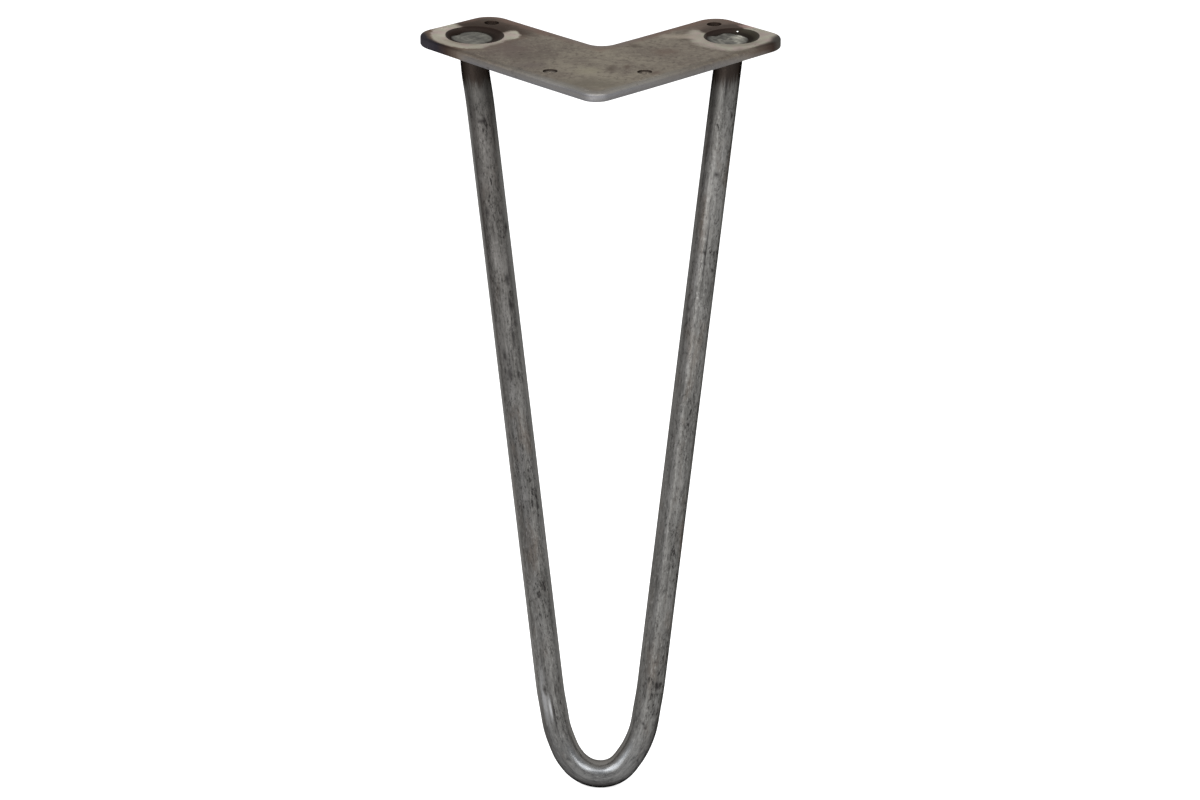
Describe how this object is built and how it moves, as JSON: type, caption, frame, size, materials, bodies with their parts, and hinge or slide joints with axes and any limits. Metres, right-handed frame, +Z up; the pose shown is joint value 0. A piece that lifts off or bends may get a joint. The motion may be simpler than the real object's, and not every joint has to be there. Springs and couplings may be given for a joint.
{
  "type": "hairpin table leg",
  "caption": "Bare-steel hairpin table leg: a bent round rod plug-welded into a V-shaped mounting plate with screw holes.",
  "frame": {"origin": "on the plate's flat top face, midway between the front pair of screw holes", "axes": "+Z up out of the top face, +Y from the plate's outer corner towards its open side, X across from rod to rod"},
  "size_m": [0.1628, 0.1145, 0.3556],
  "materials": {
    "plate_steel": "bare hot-rolled plate, heat-tinted round the welds",
    "rod_steel": "bare drawn bar with mill-scale specks",
    "weld_metal": "rippled, as welded"
  },
  "bodies": {
    "root": {"mounting_plate": "plate_steel", "hairpin_rod": "rod_steel", "left_plug_weld": "weld_metal", "right_plug_weld": "weld_metal"}
  },
  "joints": []
}
